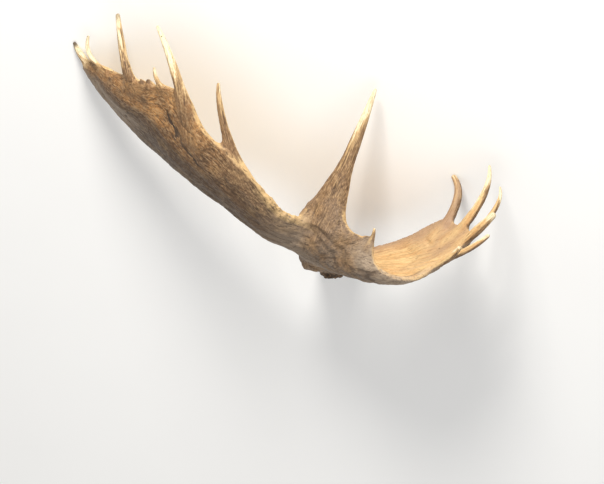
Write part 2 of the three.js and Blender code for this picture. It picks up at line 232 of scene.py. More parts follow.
class Plate:
    """A palm: a curved plate, its skin, and where any point lies along and across it."""

    # Samples along the palm and across it, and round each edge.
    STATIONS = 181
    ACROSS = 61
    EDGE = 7

    def __init__(self, rows):
        self.last = len(rows) - 1
        self.t = np.linspace(0, self.last, self.STATIONS)
        self.v = np.linspace(0, 1, self.ACROSS)
        s = along_rows(rows, self.t)
        root, rim, hollow, ends = lying(s[:, :3]), lying(s[:, 3:6]), s[:, 6], s[:, 7:9]
        middle = (root + rim) / 2
        self.tangent = unit(np.gradient(middle, axis=0))
        span = rim - root
        width = np.linalg.norm(span, axis=1)
        way = span / width[:, None]
        face = unit(np.cross(self.tangent, span))
        bulge = 4 * self.v * (1 - self.v)
        slope = 4 * (1 - 2 * self.v)[None] * (hollow / width)[:, None]
        self.centre = (
            root[:, None] + span[:, None] * self.v[None, :, None]
            + face[:, None] * (bulge[None] * hollow[:, None])[..., None]
        )
        self.normal = unit(face[:, None] - way[:, None] * slope[..., None])
        self.side = unit(way[:, None] + face[:, None] * slope[..., None])
        flute = 1 + FLUTE_DEPTH * np.sin(2 * np.pi * FLUTES * self.v) * np.sin(np.pi * self.v)
        self.thick = (ends[:, :1] * (1 - self.v) + ends[:, 1:] * self.v) * flute
        self.down = np.gradient(self.centre, self.t[1], axis=0)
        self.over = np.gradient(self.centre, self.v[1], axis=1)
        self.length = np.concatenate([[0], np.linalg.norm(np.diff(middle, axis=0), axis=1).cumsum()])
        self.reach = width.mean()
        self.rim = rim
        self.tree = KDTree(self.centre.size // 3)
        for i, point in enumerate(self.centre.reshape(-1, 3)):
            self.tree.insert(point, i)
        self.tree.balance()

    def skin(self):
        turns = np.pi * np.arange(1, self.EDGE + 1) / (self.EDGE + 1)

        def rounded(k, sign):
            thick = self.thick[:, k, None, None]
            return self.centre[:, k, None] + sign * thick * (
                self.normal[:, k, None] * np.cos(turns)[None, :, None]
                + self.side[:, k, None] * np.sin(turns)[None, :, None]
            )

        # A ring goes over the front face, round the rim, over the back face and round the root.
        front = self.centre + self.normal * self.thick[..., None]
        back = (self.centre - self.normal * self.thick[..., None])[:, ::-1]
        rings = np.concatenate([front, rounded(-1, 1), back, rounded(0, -1)], axis=1)
        total = 2 * (self.ACROSS + self.EDGE)
        facing = (2 * self.ACROSS + self.EDGE - 1 - np.arange(total)) % total

        def end(index, sign):
            ring = rings[index]
            middle = (ring + ring[facing]) / 2
            reach = (self.thick[index, 0] + self.thick[index, -1]) / 2
            sines = np.sin(np.linspace(0, np.pi / 2, self.EDGE)[1:-1])
            return np.array(
                [
                    middle
                    + (ring - middle) * np.sqrt(1 - q * q)
                    + sign * self.tangent[index] * reach * q
                    for q in sines
                ]
            )

        return closed(np.concatenate([end(0, -1)[::-1], rings, end(-1, 1)]))

    def at(self, place):
        """The middle of the plate and the way its rim runs at [station, share]."""
        i = int(round(place[0] / self.t[1]))
        k = int(round(place[1] / self.v[1]))
        before, after = max(i - 1, 0), min(i + 1, len(self.t) - 1)
        return self.centre[i, k], unit(self.rim[after] - self.rim[before])

    def find(self, points):
        """Station, share, height above the middle, and gap to the skin of each point."""
        nearest = np.array([self.tree.find(p)[1] for p in points])
        i, k = np.unravel_index(nearest, self.centre.shape[:2])
        rel = points - self.centre[i, k]
        down, over = self.down[i, k], self.over[i, k]
        dd, oo, do = (down**2).sum(1), (over**2).sum(1), (down * over).sum(1)
        rd, ro = (rel * down).sum(1), (rel * over).sum(1)
        det = np.maximum(dd * oo - do**2, TINY)
        t = self.t[i] + np.clip((rd * oo - ro * do) / det, -self.t[1], self.t[1])
        v = self.v[k] + np.clip((ro * dd - rd * do) / det, -self.v[1], self.v[1])
        height = (rel * self.normal[i, k]).sum(1)
        gap = np.linalg.norm(rel, axis=1) - self.thick[i, k]
        inside = (i > 0) & (i < len(self.t) - 1) & (k > 0) & (k < len(self.v) - 1)
        gap = np.where(inside, np.abs(height) - self.thick[i, k], gap)
        return {
            "t": t,
            "v": v,
            "height": height,
            "gap": gap,
            "normal": self.normal[i, k],
            "side": self.side[i, k],
            "mm": np.interp(t, self.t, self.length),
        }


class Limb:
    """A tine, the beam or a pearl: a line of points with two radii at each, and its skin."""

    CAP_SINES = (0.4, 0.7, 0.9, 0.99)

    def __init__(self, points, radii, edge):
        self.points, self.radii = points, radii
        self.tangent = unit(np.gradient(points, axis=0))
        self.wide = unit(edge - self.tangent * (self.tangent @ edge)[:, None])
        self.narrow = np.cross(self.tangent, self.wide)
        self.length = np.concatenate([[0], np.linalg.norm(np.diff(points, axis=0), axis=1).cumsum()])

    def skin(self, sides, relief=None):
        turn = 2 * np.pi * np.arange(sides) / sides
        swell = 1.0 if relief is None else 1 + relief(turn[None, :], self.length[:, None])
        across = (self.radii[:, :1] * np.cos(turn)) * swell
        through = (self.radii[:, 1:] * np.sin(turn)) * swell
        rings = (
            self.points[:, None]
            + self.wide[:, None] * across[..., None]
            + self.narrow[:, None] * through[..., None]
        )
        reach = self.radii[-1].mean()
        caps = [
            self.points[-1]
            + (rings[-1] - self.points[-1]) * np.sqrt(1 - q * q)
            + self.tangent[-1] * reach * q
            for q in self.CAP_SINES
        ]
        return closed(np.concatenate([rings, np.array(caps)]))


def tine(palm, place, middle, tip, radii):
    """A bent cone from a place on the palm through its middle to its tip, flared at the root."""
    root, rim = palm.at(place)
    middle, tip = lying(np.array(middle, float)), lying(np.array(tip, float))
    bend = 2 * middle - (root + tip) / 2
    t = np.linspace(0, 1, 25)[:, None]
    points = root * (1 - t) ** 2 + 2 * t * (1 - t) * bend + tip * t**2
    wide, thick, half, end = radii
    t = t[:, 0]
    late = half + (end - half) * np.clip(2 * t - 1, 0, 1) ** TIP_TAPER
    flare = np.clip(1 - 2 * t, 0, 1) ** ROOT_FLARE
    swell = np.stack([late + (wide - half) * flare, late + (thick - half) * flare], 1)
    return Limb(points, swell, rim)


# ---------------------------------------------------------------- noise


TABLE = np.random.default_rng(11).random((32, 32, 32))


def noise(p, seed=0):
    """Smooth noise from -1 to 1 at points in noise cells."""
    p = p + seed * 7.31
    i = np.floor(p).astype(int)
    f = p - i
    f = f * f * (3 - 2 * f)
    total = np.zeros(len(p))
    for corner in np.ndindex(2, 2, 2):
        share = np.prod(np.where(np.array(corner), f, 1 - f), axis=1)
        x, y, z = ((i + corner) % 32).T
        total += share * TABLE[x, y, z]
    return 2 * total - 1


def layered(p, seed, layers=3):
    """Smooth noise with finer and weaker layers of itself on top."""
    return sum(noise(p * 2**k, seed + k) * 0.5**k for k in range(layers))


# ---------------------------------------------------------------- volumes

low = np.array(cad_box[0]) * 1000 - MARGIN
high = np.array(cad_box[1]) * 1000 + MARGIN
first_cell = np.floor(low / VOXEL).astype(int)
cells = np.ceil(high / VOXEL).astype(int) - first_cell
GRID = openvdb.createLinearTransform(voxelSize=VOXEL)


def field(skins):
    """Distance to the skin of some closed bodies, in mm, at every cell of the block."""
    points = np.vstack([p for p, _ in skins])
    starts = np.cumsum([0] + [len(p) for p, _ in skins[:-1]])
    triangles = np.vstack([t + s for (_, t), s in zip(skins, starts)])
    grid = openvdb.FloatGrid.createLevelSetFromPolygons(
        points.astype(np.float32),
        triangles=triangles.astype(np.uint32),
        transform=GRID,
        halfWidth=BAND / VOXEL,
    )
    dense = np.empty(cells, np.float32)
    grid.copyToArray(dense, ijk=tuple(int(c) for c in first_cell))
    return dense


def melt(a, b, reach):
    """The union of two fields with a smooth seam as wide as reach."""
    near = (np.abs(a) < SURE_BAND) & (np.abs(b) < SURE_BAND)
    joint = np.where(near, np.clip(1 - np.abs(a - b) / reach, 0, None), 0)
    return np.minimum(a, b) - joint * joint * (reach / 4)


main_palm, brow_palm = Plate(MAIN_PALM), Plate(BROW_PALM)
tines, tine_melts, tine_creams, tine_tips = {}, {}, {}, {}
for palm, shapes in ((main_palm, MAIN_TINES), (brow_palm, BROW_TINES)):
    for name, (place, middle, tip, radii, reach, cream, dark) in shapes.items():
        tines[name] = tine(palm, place, middle, tip, radii)
        tine_melts[name] = reach
        tine_creams[name] = cream
        tine_tips[name] = dark


def round_limb(line, radii, count):
    """A round body on a smooth curve through some points in the carried frame."""
    places = np.linspace(0, len(line) - 1, count)
    points = lying(along_rows(line, places))
    size = along_rows([[r, r] for r in radii], places)
    return Limb(points, size, CARRIED_UP)


beam = round_limb(BEAM_LINE, BEAM_RADII, 40)
burr = round_limb(BURR_LINE, BURR_RADII, 16)


def beam_ridges(turn, mm):
    """7 broad and 17 narrow ridges that wind slowly along the beam, as shares of its radius."""
    broad = 0.035 * np.cos(7 * turn + 0.02 * mm + np.sin(2 * turn))
    return broad + 0.02 * np.cos(17 * turn + 0.05 * mm)


def burr_lumps(turn, mm):
    """11 uneven lumps round the burr on 5 broad swells, as shares of its radius."""
    lumps = 0.05 * np.cos(11 * turn + np.sin(3 * turn) * 2 + mm * 0.12)
    return lumps + 0.03 * np.cos(5 * turn + 1)


def pearls():
    """Knobs of bone crowded round the burr, as small closed bodies."""
    random = np.random.default_rng(5)
    bodies = []
    # Each is a ball, cut just short of its poles, where a ring would have no width.
    along = np.linspace(-1, 1, 7)
    swell = np.sqrt(np.clip(1 - along**2, 0.02, 1))
    for ring_x, ring_radius, count, size in PEARL_RINGS:
        for k in range(count):
            turn = 2 * np.pi * (k + random.uniform(-PEARL_TURN, PEARL_TURN)) / count
            r = size * random.uniform(*PEARL_SIZES)
            x = ring_x + random.uniform(-PEARL_ALONG, PEARL_ALONG)
            out = ring_radius + random.uniform(-PEARL_OUT, PEARL_OUT)
            centre = np.array([x, out * np.cos(turn), out * np.sin(turn)])
            line = lying(centre + np.outer(along * r * 0.98, [1, 0, 0]))
            pearl = Limb(line, np.stack([swell * r, swell * r], 1), CARRIED_UP)
            bodies.append(pearl.skin(PEARL_SIDES))
    return bodies


shape = melt(field([main_palm.skin()]), field([brow_palm.skin()]), PALM_MELT)
shape = melt(shape, field([beam.skin(BEAM_SIDES, beam_ridges)]), BEAM_MELT)
for reach in sorted(set(tine_melts.values()), reverse=True):
    group = [tines[name].skin(TINE_SIDES) for name in tines if tine_melts[name] == reach]
    shape = melt(shape, field(group), reach)
shape = melt(shape, field([burr.skin(BURR_SIDES, burr_lumps)]), BURR_MELT)
shape = melt(shape, field(pearls()), PEARL_MELT)

# The saw cut: nothing is left below its plane across the beam.
axes = [(first_cell[k] + np.arange(cells[k])) * VOXEL for k in range(3)]
carried_x = (
    (axes[0] - SHIFT[0])[:, None, None] * TURN[0, 0]
    + (axes[1] - SHIFT[1])[None, :, None] * TURN[1, 0]
    + (axes[2] - SHIFT[2])[None, None, :] * TURN[2, 0]
)
shape = np.maximum(shape, (SAW_CUT_X - carried_x).astype(np.float32))

grid = openvdb.FloatGrid(BAND)
grid.copyFromArray(np.ascontiguousarray(shape), ijk=tuple(int(c) for c in first_cell), tolerance=0.01)
grid.transform = GRID
points, quads = grid.convertToQuads(isovalue=0)
points = points.astype(float)
quads = quads.astype(int)
del grid, shape, carried_x


# ---------------------------------------------------------------- what lies where


def normals_of(points, quads):
    """The mean normal of the four-sided faces round each point."""
    a, b, c, d = (points[quads[:, k]] for k in range(4))
    flat = np.cross(c - a, d - b)
    total = np.zeros_like(points)
    for k in range(4):
        for axis in range(3):
            total[:, axis] += np.bincount(quads[:, k], flat[:, axis], len(points))
    return unit(total)


def on_limbs(points, limbs):
    """Each point's place on its nearest limb, as a table with one row a point.

    The columns are: which limb, share of its length, mm along it, mm off its line in the wide
    and in the narrow direction, and gap to its skin.
    """
    best = None
    for index, limb in enumerate(limbs):
        rel = points[:, None] - limb.points[None]
        gaps = np.linalg.norm(rel, axis=2) - limb.radii.mean(1)[None]
        j = gaps.argmin(1)
        rows = np.arange(len(points))
        gap = gaps[rows, j]
        r = rel[rows, j]
        ahead = (r * limb.tangent[j]).sum(1)
        piece = limb.length[1] - limb.length[0]
        mm = limb.length[j] + np.clip(ahead, -piece, piece)
        found = np.stack(
            [
                np.full(len(points), index),
                mm / limb.length[-1],
                mm,
                (r * limb.wide[j]).sum(1),
                (r * limb.narrow[j]).sum(1),
                gap,
            ],
            1,
        )
        if best is None:
            best = found
        best = np.where((found[:, 5] < best[:, 5])[:, None], found, best)
    return best


TINE_NAMES = list(tines)
LIMBS = list(tines.values())
# Millimetres that a palm's width counts for in its grain, how much closer the cup's grain
# lies, and shifts that keep the grain of one piece from repeating on another.
PALM_GRAIN = 190.0
CUP_GRAIN_CLOSER = 1.4
CUP_GRAIN_SHIFT = 300
TINE_GRAIN_SHIFT = 600
NEXT_TINE_SHIFT = 90
BEAM_GRAIN_SHIFT = 900
# In mm: how fast a piece's share fades off its skin, and how fast its facing does.
SHARE_FADE = 5.0
FACING_FADE = 8.0
FAR = 80
# How far a face has to turn to count as inner: the cosine where it starts and is full.
INNER_TURN = (-0.15, 0.3)

# The crack down the outer face and the ridges that run from the tines into the palms: two
# places each, as [station, share], and how high the ridge stands.
CRACK = ([5.95, 0.83], [4.5, 0.7])
MAIN_RIBS = [
    ([3.1, 0.42], [5.1, 0.9], 3.4),
    ([2.4, 0.62], [4.05, 0.92], 2.6),
    ([4.9, 0.5], [7.1, 0.9], 2.4),
    ([6.6, 0.45], [8.2, 0.9], 1.6),
    ([1.2, 0.1], [4.6, 0.2], 1.6),
]
CUP_RIBS = [
    ([1.9, 0.4], [1.6, 0.9], 3.6),
    ([2.4, 0.45], [2.2, 0.95], 4.0),
    ([3.0, 0.5], [2.8, 0.97], 3.6),
    ([3.5, 0.5], [3.2, 0.97], 3.6),
    ([4.2, 0.5], [3.8, 0.97], 3.2),
    ([4.9, 0.6], [4.4, 0.97], 2.4),
]
RIB_WIDTH = 9.0
CUP_RIB_WIDTH = 6.0

# The skin's relief in mm: how tall or deep each form is, then the size of its cells, along the
# growth and across it, or all ways where there is one number.
GRAIN_TALL, GRAIN_CELL = 0.55, (40, 7)
GRIT_TALL, GRIT_CELL = 0.4, 5.5
LONG_VEIN_DEEP, LONG_VEIN_CELL, LONG_VEIN_WIDTH = 1.1, (150, 24), 0.035
SHORT_VEIN_DEEP, SHORT_VEIN_CELL, SHORT_VEIN_WIDTH = 0.7, (60, 12), 0.05
BEAM_LUMP_TALL, BEAM_LUMP_CELL = 0.9, 9
SWELL_TALL, SWELL_CELL = 1.0, 34
FURROW_TALL, FURROW_CELL = 0.7, (150, 17)
CREST_TALL, CREST_LUMPS, CREST_CELL = 1.0, 3.4, 10
RIM_THINNING = 1.8
# Shares of the grain, veins and ridges that the other, smoother face of a palm keeps.
INNER_GRAIN = 0.3
INNER_VEINS = 0.12
INNER_RIBS = 0.35
# Shares of the grain's and the grit's height that a tine's slim part loses.
SLIM_GRAIN_LOSS = 0.6
SLIM_GRIT_LOSS = 0.7
# Where the main palm's crest of lumps rises and ends, and where the brow palm's first, inner
# stretch is too short for fine relief: stations along the palm.
CREST_RISE, CREST_END = (1.2, 1.8), (3.9, 3.3)
SMOOTH_START = (1.6, 0.6)
# Shares of a ridge's length by which it has its full height.
MAIN_RIB_RISE = 0.5
CUP_RIB_RISE = 0.7


def to_segment(palm, found, ends):
    """Distance in mm on a palm to a line between two places, and the share along it."""
    scale = np.array([palm.length[-1] / palm.last, palm.reach])
    a, b = np.array(ends[0]) * scale, np.array(ends[1]) * scale
    p = np.stack([found["t"], found["v"]], 1) * scale
    share = np.clip(((p - a) @ (b - a)) / ((b - a) @ (b - a)), 0, 1)
    return np.linalg.norm(p - a - share[:, None] * (b - a), axis=1), share


def nearness(gap, fade):
    """1 on a skin, fading with the gap to it."""
    return np.exp(-np.clip(gap, 0, FAR) / fade)


def describe(points, normals):
    """Everything the relief and the material need to know about each point."""
    on_main, on_brow = main_palm.find(points), brow_palm.find(points)
    on_tine = on_limbs(points, LIMBS)
    on_beam = on_limbs(points, [beam])
    gaps = np.stack([on_main["gap"], on_brow["gap"], on_tine[:, 5], on_beam[:, 5]], 1)
    share = nearness(gaps, SHARE_FADE) + TINY
    share /= share.sum(1, keepdims=True)
    carried = (points - SHIFT) @ TURN
    cup_across = CUP_GRAIN_CLOSER * on_brow["mm"] + CUP_GRAIN_SHIFT
    along_tine = on_tine[:, 2] + NEXT_TINE_SHIFT * on_tine[:, 0]
    grain = [
        np.stack([on_main["mm"], on_main["v"] * PALM_GRAIN, on_main["height"]], 1),
        np.stack([on_brow["v"] * PALM_GRAIN, cup_across, on_brow["height"]], 1),
        np.stack([along_tine, on_tine[:, 3] + TINE_GRAIN_SHIFT, on_tine[:, 4]], 1),
        np.stack([carried[:, 0], carried[:, 1] + BEAM_GRAIN_SHIFT, carried[:, 2]], 1),
    ]
    facing_main = (normals * on_main["normal"]).sum(1)
    facing_brow = (normals * on_brow["normal"]).sum(1)
    of_main = nearness(gaps[:, 0], FACING_FADE)
    of_brow = nearness(gaps[:, 1], FACING_FADE)
    facing = (facing_main * of_main + facing_brow * of_brow) / (of_main + of_brow + TINY)
    return {
        "main": on_main,
        "brow": on_brow,
        "tine": on_tine,
        "share": share,
        "grain": grain,
        "carried": carried,
        "inner": step(*INNER_TURN, facing) * (1 - share[:, 3]),
        "lobe": of_brow / (of_main + of_brow + TINY),
    }


def streaks(here, long, fine, seed):
    """Noise drawn out along the growth of the bone."""
    cell = np.array([long, fine, fine])
    return sum(
        here["share"][:, k] * noise(here["grain"][k] / cell, seed + 3 * k) for k in range(4)
    )


def veins(here, long, wide, width, seed):
    """Thin winding lines along the growth of the bone: 1 in a line and 0 beside it."""
    return np.exp(-((streaks(here, long, wide, seed) / width) ** 2))


def rib_form(palm, found, rib, width, grown):
    """A ridge's full height, its form across, and its rise from its start to the share grown."""
    start, end, tall = rib
    distance, part = to_segment(palm, found, (start, end))
    return tall, np.exp(-((distance / width) ** 2)), step(0, grown, part)


def relief(points, here):
    """How far the skin stands proud of its smooth shape in mm, and the fine part of that."""
    inner, share = here["inner"], here["share"]
    outer = 1 - inner
    main, brow = here["main"], here["brow"]
    tine_share, beam_share = share[:, 2], share[:, 3]
    slim = step(0.3, 0.8, here["tine"][:, 1]) * tine_share
    rough = outer + INNER_GRAIN * inner
    veined = outer + INNER_VEINS * inner
    fine = GRAIN_TALL * rough * streaks(here, *GRAIN_CELL, 1) * (1 - SLIM_GRAIN_LOSS * slim)
    fine += GRIT_TALL * rough * layered(points / GRIT_CELL, 20, 2) * (1 - SLIM_GRIT_LOSS * slim)
    fine -= LONG_VEIN_DEEP * veined * veins(here, *LONG_VEIN_CELL, LONG_VEIN_WIDTH, 40) * (1 - slim)
    short_veins = veins(here, *SHORT_VEIN_CELL, SHORT_VEIN_WIDTH, 44)
    fine -= SHORT_VEIN_DEEP * veined * short_veins * (1 - SLIM_GRAIN_LOSS * slim)
    fine += BEAM_LUMP_TALL * beam_share * layered(here["carried"] / BEAM_LUMP_CELL, 80, 2)
    fine *= 1 - share[:, 1] * step(*SMOOTH_START, brow["t"])

    swells = SWELL_TALL * layered(points / SWELL_CELL, 60) * (1 - slim)
    coarse = swells + FURROW_TALL * outer * streaks(here, *FURROW_CELL, 7)
    thin = step(0.82, 1.0, main["v"]) * share[:, 0] + step(0.85, 1.0, brow["v"]) * share[:, 1]
    coarse -= RIM_THINNING * thin
    crest = share[:, 0] * step(0.86, 1.0, main["v"])
    crest = crest * step(*CREST_RISE, main["t"]) * step(*CREST_END, main["t"])
    coarse += crest * (CREST_TALL + CREST_LUMPS * layered(points / CREST_CELL, 90, 2))
    on_main_face = share[:, 0] * (INNER_RIBS + (1 - INNER_RIBS) * outer)
    for rib in MAIN_RIBS:
        tall, across, along = rib_form(main_palm, main, rib, RIB_WIDTH, MAIN_RIB_RISE)
        coarse += tall * on_main_face * across * along
    for rib in CUP_RIBS:
        tall, across, along = rib_form(brow_palm, brow, rib, CUP_RIB_WIDTH, CUP_RIB_RISE)
        coarse += tall * share[:, 1] * inner * across * along
    grown = 1 - step(1.5, 0.2, here["carried"][:, 0] - SAW_CUT_X)
    return (coarse + fine) * grown, fine * grown


# ---------------------------------------------------------------- the mesh


def mesh_of(name, points, faces):
    mesh = bpy.data.meshes.new(name)
    mesh.from_pydata(points, [], faces)
    mesh.update()
    return mesh


if (normals_of(points, quads) * (points - points.mean(0))).sum() < 0:
    quads = quads[:, ::-1]
normals = normals_of(points, quads)
here = describe(points, normals)
points = points + normals * relief(points, here)[0][:, None]

antler = bpy.data.objects.new("antler", mesh_of("antler", points / 1000, quads.tolist()))
bpy.context.scene.collection.objects.link(antler)
thinner = antler.modifiers.new("thinner", "DECIMATE")
thinner.ratio = min(1.0, FACES / (2 * len(quads)))
bpy.context.view_layer.update()
final = bpy.data.meshes.new_from_object(antler.evaluated_get(bpy.context.evaluated_depsgraph_get()))
antler.modifiers.clear()
antler.data = final
final.name = "antler"

co = np.empty(len(final.vertices) * 3, np.float32)
final.vertices.foreach_get("co", co)
co = co.reshape(-1, 3)
co[:, 2] = np.maximum(co[:, 2], FLOOR_GAP)
final.vertices.foreach_set("co", co.ravel())
final.shade_smooth()
final.update()
points = co.astype(float) * 1000
normals = np.empty(len(co) * 3, np.float32)
final.vertices.foreach_get("normal", normals)
normals = normals.reshape(-1, 3).astype(float)

# ---------------------------------------------------------------- masks for the material

# How much of a tine's cream is left off on its underside, as painted shade, and along its two edges.
UNDERSIDE_PAINTED_SHADE = 0.45
EDGE_BROWN = 0.8
# Where the dark line inside the cup's rim runs, and how wide it is, as shares of the palm.
CUP_LINE, CUP_LINE_WIDTH = 0.945, 0.012

here = describe(points, normals)
on_tine, lobe, inside = here["tine"], here["lobe"], here["inner"]
outside = 1 - inside
main_share, brow_share, tine_share, beam_share = here["share"].T
main_t, main_v = here["main"]["t"], here["main"]["v"]
brow_t, brow_v = here["brow"]["t"], here["brow"]["v"]
from_saw_cut = here["carried"][:, 0] - SAW_CUT_X

# The rims: what faces outward at the tined edge of a palm, and the crest near the beam, made pale
# partly as wear and partly as painted highlight.
main_rim = (normals * here["main"]["side"]).sum(1) * main_share * step(0.8, 0.95, main_v)
brow_rim = (normals * here["brow"]["side"]).sum(1) * brow_share * step(0.8, 0.95, brow_v)
crest = main_share * step(0.93, 0.99, main_v) * step(1.4, 1.9, main_t) * step(3.9, 3.4, main_t)

# The tines: cream toward the tip, with painted shade on the underside and the two edges left browner.
which, along_tine = on_tine[:, 0].astype(int), on_tine[:, 1]
cream_from, cream_full = np.array([tine_creams[name] for name in TINE_NAMES])[which].T
tip_dark = np.array([tine_tips[name] for name in TINE_NAMES])[which]
near_tine = step(7, 0, on_tine[:, 5])
underside = step(0.3, -0.7, (normals @ TURN)[:, 2])
across_tine = np.abs(on_tine[:, 3]) / np.maximum(np.hypot(on_tine[:, 3], on_tine[:, 4]), TINY)
tine_edge = step(0.45, 0.9, across_tine) * step(0.95, 0.6, along_tine) * lobe
brown_and_painted_shade = UNDERSIDE_PAINTED_SHADE * underside + EDGE_BROWN * tine_edge
cream = (along_tine - cream_from) / (cream_full - cream_from) - brown_and_painted_shade

# The main palm's outer face: gray at the rear and near the beam, with painted shade below a slanted
# edge.
gray_main = np.maximum(step(0.62, 0.4, main_v), 0.9 * step(4.4, 2.4, main_t))
gray_brow = 1 - 0.5 * step(10.5, 11.8, brow_t)
gray_tine = 0.4 * lobe * step(0.4, 0.1, along_tine)
shade_edge = 0.82 - 0.1 * np.clip(main_t - 4.7, 0, 2)
pale_rear = 0.8 * step(0.5, 0.4, main_v) * step(5.6, 6.8, main_t)
# Paler near the beam: painted light where that face turns away from the lamps.
pale_main = np.maximum(0.6 * step(3.5, 2.3, main_t), pale_rear)

# The cup: pale toward its rim, dull on its inner wall and at its front, with painted shade between
# its ridges.
cup_wall = step(4.0, 5.0, brow_t)
pale_brow = np.where(inside < 0.5, 0.9, step(0.93, 0.98, brow_v) * cup_wall)
pale_brow = step(0.55, 0.92, brow_v) * step(9.8, 8.4, brow_t) * pale_brow
valley = 1.0
for rib in CUP_RIBS:
    _, across, along = rib_form(brow_palm, here["brow"], rib, CUP_RIB_WIDTH, 0.5)
    valley = valley * (1 - across * along)
dull_wall = step(1.8, 0.5, brow_t)
dull_front = step(0.55, 0.85, brow_v) * step(4.2, 2.8, brow_t)
painted_valley_shade = valley * step(0.5, 0.8, brow_v) * (1 - cup_wall)
dull_cup = np.maximum(np.maximum(dull_wall, dull_front), painted_valley_shade)
dull_tine = near_tine * (which == TINE_NAMES.index("t9")) * step(0.05, 0.4, along_tine)

MASKS = {
    "inner": inside,
    "lobe": lobe,
    "cream": near_tine * np.clip(cream, 0, 1),
    "rim": np.maximum(step(0.35, 0.85, main_rim + brow_rim), 0.8 * crest),
    "gray": outside
    * (
        main_share * gray_main
        + brow_share * gray_brow
        + tine_share * gray_tine
        + 0.7 * beam_share
    ),
    "warm": outside * main_share * step(4.2, 5.2, main_t) * step(0.56, 0.7, main_v),
    "pale": brow_share * pale_brow + outside * main_share * pale_main,
    "shade": outside * main_share * step(0, 0.2, shade_edge - main_v) * step(2.4, 3.8, main_t),
    "dull": inside * brow_share * dull_cup + dull_tine,
    "line": inside * brow_share * np.exp(-(((brow_v - CUP_LINE) / CUP_LINE_WIDTH) ** 2)) * cup_wall,
    "burr": step(45, 12, here["carried"][:, 0]) * beam_share,
    "sawn": step(1.2, 0.4, from_saw_cut),
    "dark_tip": near_tine * tip_dark * step(0.86, 1.0, along_tine),
    "relief": relief(points, here)[1],
}
for name, values in MASKS.items():
    layer = final.attributes.new(name, "FLOAT", "POINT")
    layer.data.foreach_set("value", np.asarray(values, np.float32))
GRAINS = ("grain_main", "grain_brow", "grain_tine", "grain_beam")
for k, name in enumerate(GRAINS):
    layer = final.attributes.new(name, "FLOAT_VECTOR", "POINT")
    layer.data.foreach_set("vector", np.asarray(here["grain"][k], np.float32).ravel())
    layer = final.attributes.new(name.replace("grain", "share"), "FLOAT", "POINT")
    layer.data.foreach_set("value", np.asarray(here["share"][:, k], np.float32))

# ---------------------------------------------------------------- the bone's material

BROWN = (0.200, 0.110, 0.050)
DARK_BROWN = (0.055, 0.030, 0.016)
ORANGE = (0.450, 0.215, 0.066)
GRAY_BROWN = (0.190, 0.140, 0.098)
TAN = (0.440, 0.290, 0.150)
PALE_GRAY = (0.400, 0.305, 0.215)
DULL_TAN = (0.370, 0.235, 0.140)
PALE_TAN = (0.720, 0.520, 0.255)
WARM_TAN = (0.600, 0.350, 0.145)
CREAM = (0.640, 0.430, 0.200)
IVORY = (0.780, 0.660, 0.430)
BURR_BROWN = (0.055, 0.034, 0.020)
PORE = (0.240, 0.150, 0.080)

# Layers of colour, each over the one before: the mask that holds it, or None where it may be
# anywhere, the pattern that it follows, the pattern's values where it starts and where it is
# full, how strong it is there, and its colour.
OUTER_LAYERS = [
    ("warm", "blotch", 0.3, 0.58, 1.0, ORANGE),
    ("gray", "blotch", 0.8, 0.3, 1.2, GRAY_BROWN),
    ("calm", "patch", 0.46, 0.33, 0.35, DARK_BROWN),
    ("shade", "blotch", 0.2, 0.55, 0.7, DARK_BROWN),
    ("calm", "fine", 0.52, 0.64, 0.65, TAN),
    ("calm", "fine", 0.48, 0.37, 0.65, DARK_BROWN),
    ("calm", "grit", 0.47, 0.36, 0.45, DARK_BROWN),
    ("calm", "grit", 0.54, 0.66, 0.45, TAN),
    ("pale", "coarse", 0.2, 0.45, 0.85, PALE_GRAY),
    ("share_tine", "hair", 0.52, 0.62, 0.7, TAN),
    (None, "hair", 0.46, 0.37, 0.7, DARK_BROWN),
]
PALM_LAYERS = [
    (None, "blotch", 0.5, 0.7, 0.6, WARM_TAN),
    (None, "patch", 0.6, 0.72, 0.5, GRAY_BROWN),
]
CUP_LAYERS = [
    (None, "coarse", 0.35, 0.62, 0.8, PALE_TAN),
]
INNER_LAYERS = [
    ("dull", "blotch", 0.1, 0.45, 0.95, DULL_TAN),
    ("pale", "coarse", 0.2, 0.45, 0.7, PALE_GRAY),
    (None, "patch", 0.44, 0.3, 0.4, TAN),
    (None, "fine", 0.46, 0.36, 0.35, BROWN),
    (None, "hair", 0.45, 0.36, 0.5, BROWN),
]
TINE_LAYERS = [
    (None, "fine", 0.48, 0.36, 0.5, TAN),
    (None, "hair", 0.45, 0.35, 0.45, BROWN),
]
WEAR_AND_PAINTED_LIGHT_LAYERS = [
    # Cream on the rims: partly wear, partly painted highlight.
    ("rim", "fine", 0.3, 0.5, 0.8, CREAM),
    # Darker where the relief sinks, and tan on its raised bits as painted highlight.
    (None, "relief", -0.35, -1.4, 0.6, DARK_BROWN),
    (None, "relief", 0.45, 1.2, 0.3, TAN),
]
LINE_STRENGTH = 0.8
CRUST_STRENGTH = 0.85
PIT_STRENGTH = 0.75
# Cells a metre: the spongy bone of the sawn face, and the small pits here and there.
BONE_CELLS = 420.0
PIT_CELLS = 62.0
# The shader's own relief: its height in metres, and each pattern's share of it.
BUMP_HEIGHT = 0.0014
BUMP_HAIR = 0.6
BUMP_GRIT = 0.7
BUMP_PIT = 1.5
# The crack's half width in mm, where it fades out and where it is full, how far it wanders
# off its straight line, and over how much of its length it comes in and runs out.
CRACK_HALF_WIDTH = (3.4, 1.2)
CRACK_WANDER = 6.0
CRACK_START, CRACK_END = 15.0, 30.0


